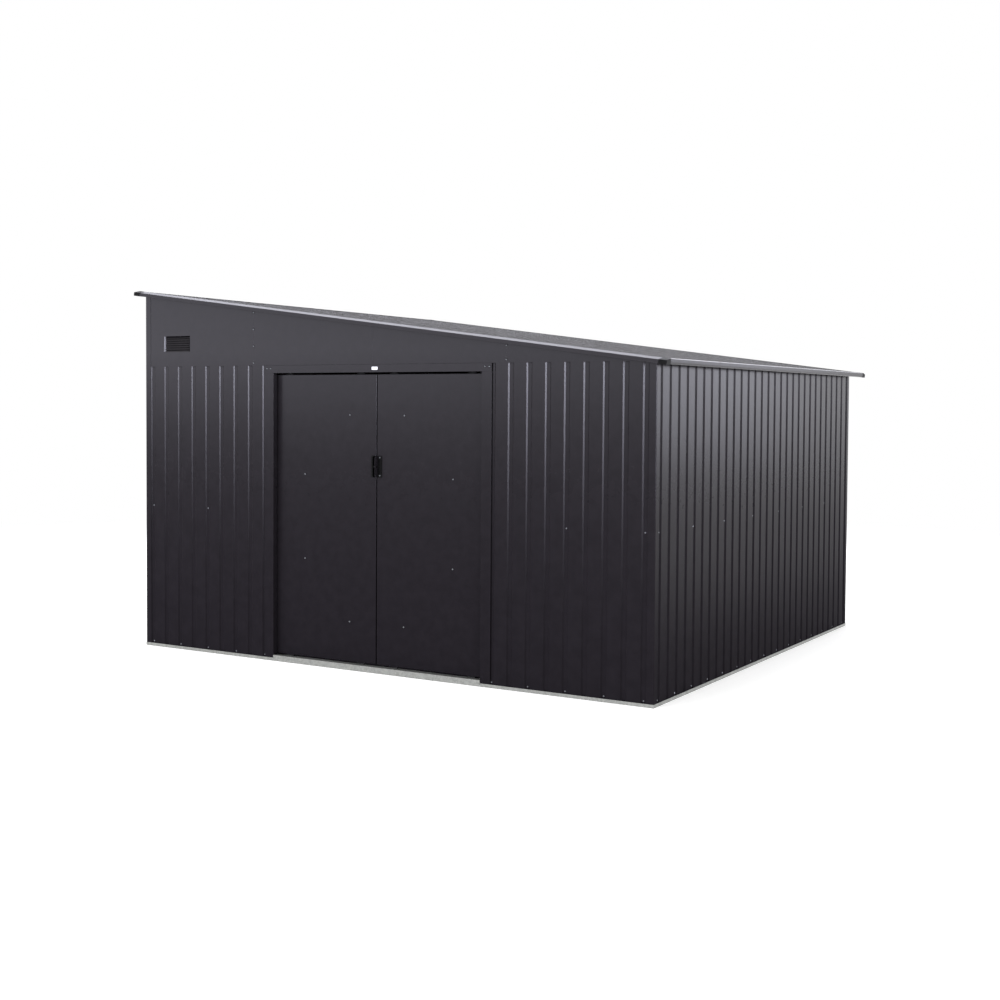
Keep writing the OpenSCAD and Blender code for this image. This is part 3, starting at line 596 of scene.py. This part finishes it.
plate_size = Vector((0.040, 0.0008, 0.017))
header_low, header_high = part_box("door_header")
plate_middle = Vector((-0.018, header_low.y - plate_size.y / 2, (header_low.z + header_high.z) / 2))
shape = bmesh.new()
bmesh.ops.create_cube(shape, size=1,
                      matrix=Matrix.Translation(plate_middle) @ Matrix.Diagonal((*plate_size, 1)))
corners = [e for e in shape.edges if abs(e.verts[0].co.y - e.verts[1].co.y) > plate_size.y / 2]
bmesh.ops.bevel(shape, geom=corners, offset=0.003, segments=4, affect="EDGES", profile=0.5)
mesh = bpy.data.meshes.new("header_plate")
shape.to_mesh(mesh)
shape.free()
plate = shaded(add_piece("header_plate", mesh, aluminium()))
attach(plate, "shed")

# Screws
# Zinc-plated pan heads with a cross recess, each on a black rubber washer. They hold the sheets to the
# base and to the mid rails, the gables at their seams, and the header to the jambs.


def bright_zinc():
    """Electroplated zinc: a bright, faintly blue metal."""
    material, tree = new_material("zinc-plated screw")
    place = add_node(tree, "ShaderNodeTexCoord")
    scuff_mm = 1.5
    scuff = add_node(tree, "ShaderNodeTexNoise",
                     {"Vector": place.outputs["Object"], "Scale": 1000 / scuff_mm, "Detail": 3})
    gloss = add_node(tree, "ShaderNodeMapRange",
                     {"Value": scuff.outputs["Fac"], "To Min": 0.35, "To Max": 0.5})
    metal = add_node(tree, "ShaderNodeBsdfPrincipled",
                     {"Base Color": linear("808286"), "Metallic": 1.0, "Roughness": gloss.outputs[0]})
    add_node(tree, "ShaderNodeOutputMaterial", {"Surface": metal.outputs[0]})
    return material


def rubber():
    """Moulded black rubber, matt and a little dusty."""
    material, tree = new_material("black rubber")
    place = add_node(tree, "ShaderNodeTexCoord")
    dust_mm = 4
    dust = add_node(tree, "ShaderNodeTexNoise",
                    {"Vector": place.outputs["Object"], "Scale": 1000 / dust_mm, "Detail": 3})
    tone = add_node(tree, "ShaderNodeValToRGB", {"Fac": dust.outputs["Fac"]})
    for stop, grey in zip(tone.color_ramp.elements, ("101011", "242425")):
        stop.color = linear(grey)
    skin = add_node(tree, "ShaderNodeBsdfPrincipled",
                    {"Base Color": tone.outputs[0], "Roughness": 0.7, "Specular IOR Level": 0.25})
    add_node(tree, "ShaderNodeOutputMaterial", {"Surface": skin.outputs[0]})
    return material


screws, given, screw_keys = new_geometry_tree("screws", {
    "Head radius": number, "Head height": number, "Washer radius": number, "Washer height": number,
    "Facing": arrow, "Steel": finish, "Rubber": finish})
sides = 14
half_washer = add_node(screws, "ShaderNodeMath", {0: given["Washer height"], 1: 0.5}, operation="MULTIPLY")
lift = add_node(screws, "ShaderNodeCombineXYZ", {"Z": half_washer.outputs[0]})
washer = add_node(screws, "GeometryNodeMeshCylinder",
                  {"Vertices": sides, "Radius": given["Washer radius"], "Depth": given["Washer height"]})
washer = add_node(screws, "GeometryNodeTransform",
                  {"Geometry": washer.outputs[0], "Translation": lift.outputs[0]})
washer = add_node(screws, "GeometryNodeStoreNamedAttribute",
                  {"Geometry": washer.outputs[0], "Name": "is_washer", "Value": True},
                  data_type="BOOLEAN", domain="FACE")
crown = add_node(screws, "ShaderNodeMath", {0: given["Head radius"], 1: 0.7}, operation="MULTIPLY")
seat = add_node(screws, "ShaderNodeCombineXYZ", {"Z": given["Washer height"]})
head = add_node(screws, "GeometryNodeMeshCone",
                {"Vertices": sides, "Radius Top": crown.outputs[0], "Radius Bottom": given["Head radius"],
                 "Depth": given["Head height"]})
head = add_node(screws, "GeometryNodeTransform",
                {"Geometry": head.outputs[0], "Translation": seat.outputs[0]})
slot_width = add_node(screws, "ShaderNodeMath", {0: given["Head radius"], 1: 0.24}, operation="MULTIPLY")
top = add_node(screws, "ShaderNodeMath", {0: given["Washer height"], 1: given["Head height"]},
               operation="ADD")
top = add_node(screws, "ShaderNodeCombineXYZ", {"Z": top.outputs[0]})
recess = add_node(screws, "GeometryNodeMeshBoolean", {"Mesh 1": head.outputs[0]}, operation="DIFFERENCE",
                  solver="EXACT")
for long_side, short_side in (("X", "Y"), ("Y", "X")):
    size = add_node(screws, "ShaderNodeCombineXYZ",
                    {long_side: given["Head radius"], short_side: slot_width.outputs[0],
                     "Z": given["Head height"]})
    cutter = add_node(screws, "GeometryNodeMeshCube", {"Size": size.outputs[0]})
    cutter = add_node(screws, "GeometryNodeTransform",
                      {"Geometry": cutter.outputs[0], "Translation": top.outputs[0]})
    screws.links.new(cutter.outputs[0], recess.inputs["Mesh 2"])
whole = add_node(screws, "GeometryNodeJoinGeometry", {"Geometry": washer.outputs[0]})
screws.links.new(recess.outputs[0], whole.inputs["Geometry"])
aim = add_node(screws, "FunctionNodeAlignRotationToVector", {"Vector": given["Facing"]}, axis="Z")
chance = add_node(screws, "FunctionNodeRandomValue", {2: 0.0, 3: math.pi, "Seed": 7})
spin = add_node(screws, "FunctionNodeAxisAngleToRotation", {"Axis": (0, 0, 1), "Angle": chance.outputs[1]})
driven = add_node(screws, "FunctionNodeRotateRotation",
                  {"Rotation": aim.outputs[0], "Rotate By": spin.outputs[0]},
                  rotation_space="LOCAL")
fixed = add_node(screws, "GeometryNodeInstanceOnPoints",
                 {"Points": given["Geometry"], "Instance": whole.outputs[0], "Rotation": driven.outputs[0]})
fixed = add_node(screws, "GeometryNodeRealizeInstances", {"Geometry": fixed.outputs[0]})
fixed = add_node(screws, "GeometryNodeSetMaterial",
                 {"Geometry": fixed.outputs[0], "Material": given["Steel"]})
is_washer = add_node(screws, "GeometryNodeInputNamedAttribute", {"Name": "is_washer"}, data_type="BOOLEAN")
fixed = add_node(screws, "GeometryNodeSetMaterial",
                 {"Geometry": fixed.outputs[0], "Selection": is_washer.outputs[0],
                  "Material": given["Rubber"]})
add_node(screws, "NodeGroupOutput", {"Geometry": fixed.outputs[0]})

screw_metal = bright_zinc()
washer_rubber = rubber()
washer_radius = 0.0062


def add_screws(name, places, facing, body):
    """Screws at the given places, all with their heads turned one way."""
    points = bpy.data.meshes.new(name)
    points.from_pydata(places, [], [])
    piece = grown(name, screws, screw_keys, {
        "Head radius": 0.0043, "Head height": 0.0022, "Washer radius": washer_radius,
        "Washer height": 0.001, "Facing": facing, "Steel": screw_metal, "Rubber": washer_rubber}, points)
    shaded(settled(piece), crease=30)
    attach(piece, body)


base_screw_z = 0.030
rail_low, rail_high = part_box("front_mid_rails")
mid_screw_z = (rail_low.z + rail_high.z) / 2
gable_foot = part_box("front_gable")[0].z
roof_fall = 0.44
roof_foot = 1.728
gable_sheets = 4
seam_screw_spacing = 0.1
seam_foot_margin, seam_top_margin = 0.016, 0.028
header_screw_rise = 0.026
header_screw_insets = (0.015, 0.042)


def wall_screws(grooves, seams):
    """Places in a wall's own axes: in every second groove at the base, and at mid-height at one end and at
    the seams."""
    places = [(x, groove_depth, base_screw_z) for x in grooves[::2]]
    at_mid_height = [0, *seams]
    return places + [(grooves[k], groove_depth, mid_screw_z) for k in at_mid_height]


def seam_screws(x, top, y):
    """A column of screws up a seam of the plain sheets, evenly spaced."""
    low_z, high_z = gable_foot + seam_foot_margin, top - seam_top_margin
    steps = max(1, round((high_z - low_z) / seam_screw_spacing))
    return [(x, y, low_z + (high_z - low_z) * k / steps) for k in range(steps + 1)]


def roof_under(x):
    """Height of the roof's underside at a distance from the high wall."""
    return roof_foot + roof_fall * (shed_width - x) / shed_width


skin = box_in("front_gable", front_axes)[0].y
cover = box_in("door_header", front_axes)[0].y
jamb_edge = box_in("left_jamb", front_axes)[0].x
clear_of_jamb = jamb_edge - washer_radius - hair
left_places = [(min(x, clear_of_jamb), y, z) for x, y, z in wall_screws(front_left_row, front_left_seams)]
seam_places = [place for share in (1, 3)
               for place in seam_screws(shed_width * share / gable_sheets,
                                        roof_under(shed_width * share / gable_sheets), skin)]
header_screw_z = header_low.z + header_screw_rise
header_places = [(jamb_edge + x, cover, header_screw_z) for x in header_screw_insets]
front_places = left_places + header_places
front_places += [(shed_width - x, y, z) for x, y, z in front_places]
front_places += seam_places
add_screws("front_screws", [front_axes @ Vector(p) for p in front_places], (0, -1, 0), "shed")
back_places = wall_screws(front_row, seam_row(front_row))
back_places += [(shed_width - x, y, z) for x, y, z in seam_places]
add_screws("back_screws", [back_axes @ Vector(p) for p in back_places], (0, 1, 0), "shed")
side_places = wall_screws(side_row, seam_row(side_row))
add_screws("low_side_screws", [low_side_axes @ Vector(p) for p in side_places], (1, 0, 0), "shed")
side_places += [place for share in (1, 2, 3)
                for place in seam_screws(shed_depth * share / gable_sheets, roof_under(0), skin)]
add_screws("high_side_screws", [high_side_axes @ Vector(p) for p in side_places], (-1, 0, 0), "shed")

# Frame
# Angles and channels of galvanised sheet steel, folded along their length. They run behind the sheets and
# under the roof, and are bolted at their ends.

for node in ("front_top_rail", "back_top_rail", "low_side_top_rail", "high_side_top_rail",
             "high_side_lap_rail", "front_rake_rail", "back_rake_rail", "front_mid_rails",
             "side_mid_rails", "back_mid_rail", "roof_beams"):
    folded(node, "shed", zinc)

# Roof
# Ribbed painted sheets that run down the slope, dulled by dust and screwed through their ribs to the beams.
# Folded painted trims and moulded corner caps edge them.

dusty_anthracite = painted_steel("dusty anthracite coil paint", "2a272c", foot=(0.45, 0.28),
                                 top=(0.45, 0.28))
roof_rib_run = 0.0125
roof_rib_height = 0.010
slope = math.atan(roof_fall / shed_width)
roof_axes = (Matrix.Translation((x_low, y_front, roof_foot)) @ Matrix.Rotation(slope, 4, "Y")
             @ Matrix(((0, 0, 1, 0), (1, 0, 0, 0), (0, 1, 0, 0), (0, 0, 0, 1))))
low, high = box_in("roof_sheets", roof_axes)
roof_row = [low.x + x for x in groove_row(high.x - low.x)]
build_sheets("roof_sheets", roof_axes, roof_row, seam_row(roof_row), roof_rib_run, roof_rib_height,
             dusty_anthracite)
for node in ("front_verge_trim", "back_verge_trim"):
    folded(node, "shed", dusty_anthracite)
for node in ("low_eave_trim", "high_eave_trim"):
    folded(node, "shed", anthracite, fold=0.006)


def black_plastic():
    """Moulded polypropylene: nearly black, matt, with a fine spark-eroded grain."""
    material, tree = new_material("moulded black plastic")
    place = add_node(tree, "ShaderNodeTexCoord")
    grain_mm = 0.8
    grain = add_node(tree, "ShaderNodeTexNoise",
                     {"Vector": place.outputs["Object"], "Scale": 1000 / grain_mm, "Detail": 2})
    gloss = add_node(tree, "ShaderNodeMapRange",
                     {"Value": grain.outputs["Fac"], "To Min": 0.4, "To Max": 0.55})
    relief = add_node(tree, "ShaderNodeBump",
                      {"Height": grain.outputs["Fac"], "Strength": 0.2, "Distance": 0.0002})
    resin = add_node(tree, "ShaderNodeBsdfPrincipled",
                     {"Base Color": linear("0c0c0d"), "Roughness": gloss.outputs[0], "IOR": 1.49,
                      "Specular IOR Level": 0.12, "Normal": relief.outputs[0]})
    add_node(tree, "ShaderNodeOutputMaterial", {"Surface": resin.outputs[0]})
    return material


plastic = black_plastic()
folded("roof_corner_caps", "shed", plastic)
beam_count = 3
beam_places = [(x, high.y, -shed_width * share / (beam_count + 1) / math.cos(slope))
               for share in range(1, beam_count + 1) for x in roof_row[::2]]
roof_up = roof_axes.to_3x3() @ Vector((0, 1, 0))
add_screws("roof_screws", [roof_axes @ Vector(p) for p in beam_places], roof_up, "shed")

# Door rails
# A slotted track of galvanised steel behind the header, which carries the rollers, and a galvanised
# channel on the ground, which guides the shoes.

for node in ("door_track", "door_guide_rail"):
    folded(node, "shed", zinc)

# Doors
# Painted sheets folded back round all four edges. Diagonal galvanised channels behind each face are bolted
# through it at four places, where the sheet is drawn in a little.

bolt_spots = ((0.31, 0.243), (0.75, 0.585))
door_face_cuts = 63
dimple_depth, dimple_reach = 0.0012, 0.032
buckle_depth, buckle_mm = 0.0007, 260
still_border = 0.06


def bolt_places(hand):
    """Where a door's bolts pass through its face: two on each brace, the one near the outer edge first."""
    low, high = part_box(hand + "_door_braces")
    outer, meeting = (low.x, high.x) if hand == "left" else (high.x, low.x)
    middle = (low.z + high.z) / 2
    face_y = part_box(hand + "_door")[0].y
    return [Vector((outer + (meeting - outer) * share, face_y, middle + side * rise))
            for share, rise in bolt_spots for side in (1, -1)]


def press_face(shape, bolts):
    """Divides a door's face, draws it in round the bolts, and leaves a slight buckle in between."""
    face = max(shape.faces, key=lambda f: -f.normal.y * f.calc_area())
    face_y = face.calc_center_median().y
    xs, zs = zip(*((v.co.x, v.co.z) for v in face.verts))
    left, right, foot, top = min(xs), max(xs), min(zs), max(zs)
    bmesh.ops.subdivide_edges(shape, edges=face.edges, cuts=door_face_cuts, use_grid_fill=True)
    for vert in shape.verts:
        if abs(vert.co.y - face_y) > 1e-6:
            continue
        edge_distance = min(vert.co.x - left, right - vert.co.x, vert.co.z - foot, top - vert.co.z)
        share = min(1.0, edge_distance / still_border)
        ease = share * share * (3 - 2 * share)
        drawn = sum(math.exp(-((vert.co.x - b.x) ** 2 + (vert.co.z - b.z) ** 2) / (2 * dimple_reach ** 2))
                    for b in bolts)
        buckle = 0.5 + 0.5 * noise.noise(vert.co * 1000 / buckle_mm)
        vert.co.y += ease * (dimple_depth * drawn + buckle_depth * buckle)


for hand in ("left", "right"):
    bolts = bolt_places(hand)
    folded(hand + "_door", hand + "_door", anthracite, fold=0.004,
           pressed=lambda shape: press_face(shape, bolts))
    folded(hand + "_door_braces", hand + "_door", zinc)

# Running gear
# Black nylon rollers and guide shoes. The rollers run in the track and carry the doors by steel hangers,
# plated with black zinc and fixed to the doors' upper edges.


def nylon():
    """Moulded black nylon with a soft shine."""
    material, tree = new_material("moulded nylon")
    place = add_node(tree, "ShaderNodeTexCoord")
    cloud_mm = 11
    cloud = add_node(tree, "ShaderNodeTexNoise",
                     {"Vector": place.outputs["Object"], "Scale": 1000 / cloud_mm, "Detail": 3})
    gloss = add_node(tree, "ShaderNodeMapRange",
                     {"Value": cloud.outputs["Fac"], "To Min": 0.35, "To Max": 0.5})
    resin = add_node(tree, "ShaderNodeBsdfPrincipled",
                     {"Base Color": linear("1b1b1d"), "Roughness": gloss.outputs[0], "IOR": 1.53})
    add_node(tree, "ShaderNodeOutputMaterial", {"Surface": resin.outputs[0]})
    return material


def black_zinc():
    """Zinc plating with a black passivation: a dark, dull metal."""
    material, tree = new_material("black zinc plating")
    place = add_node(tree, "ShaderNodeTexCoord")
    cloud_mm = 8
    cloud = add_node(tree, "ShaderNodeTexNoise",
                     {"Vector": place.outputs["Object"], "Scale": 1000 / cloud_mm, "Detail": 3})
    tone = add_node(tree, "ShaderNodeValToRGB", {"Fac": cloud.outputs["Fac"]})
    for stop, grey in zip(tone.color_ramp.elements, ("161617", "262628")):
        stop.color = linear(grey)
    metal = add_node(tree, "ShaderNodeBsdfPrincipled",
                     {"Base Color": tone.outputs[0], "Metallic": 0.9, "Roughness": 0.5})
    add_node(tree, "ShaderNodeOutputMaterial", {"Surface": metal.outputs[0]})
    return material


runner = nylon()
hanger = black_zinc()
door_low, door_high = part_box("left_door")
door_mid = (door_low.y + door_high.y) / 2
hanger_thickness = 0.004
for hand in ("left", "right"):
    gear = folded(hand + "_door_running_gear", hand + "_door", runner, fold=0.0005)
    gear.data.materials.append(hanger)
    for face in gear.data.polygons:
        is_foot = door_high.z < face.center.z < door_high.z + hanger_thickness + 2 * hair
        is_web = face.center.z > door_high.z and abs(face.center.y - door_mid) < hanger_thickness
        face.material_index = 1 if is_foot or is_web else 0

# Handles
# Moulded black plates on the meeting edges of the doors, with flanges that stand out for a padlock. The
# right one's flange is painted like the door.

handle_thickness = 0.003
handle_fold = 0.0012
folded("left_door_handle", "left_door", plastic, fold=handle_fold)
right_handle = folded("right_door_handle", "right_door", plastic, fold=handle_fold)
handle_low, handle_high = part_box("right_door_handle")
handle_middle = (handle_low + handle_high) / 2
plate_front = handle_high.y - handle_thickness
right_handle.data.materials.append(anthracite)
for face in right_handle.data.polygons:
    face.material_index = 1 if face.center.y < plate_front - hair else 0

# Door bolts
# Zinc-plated heads on rubber washers, through each door's face into its braces, and two more that hold
# the plate of the right handle.

handle_screw_x = handle_middle.x + 0.002
handle_screw_reach = 0.05
for hand in ("left", "right"):
    places = [b + Vector((0, dimple_depth, 0)) for b in bolt_places(hand)]
    if hand == "right":
        places += [Vector((handle_screw_x, plate_front, handle_middle.z + side * handle_screw_reach))
                   for side in (1, -1)]
    add_screws(hand + "_door_bolts", places, (0, -1, 0), hand + "_door")
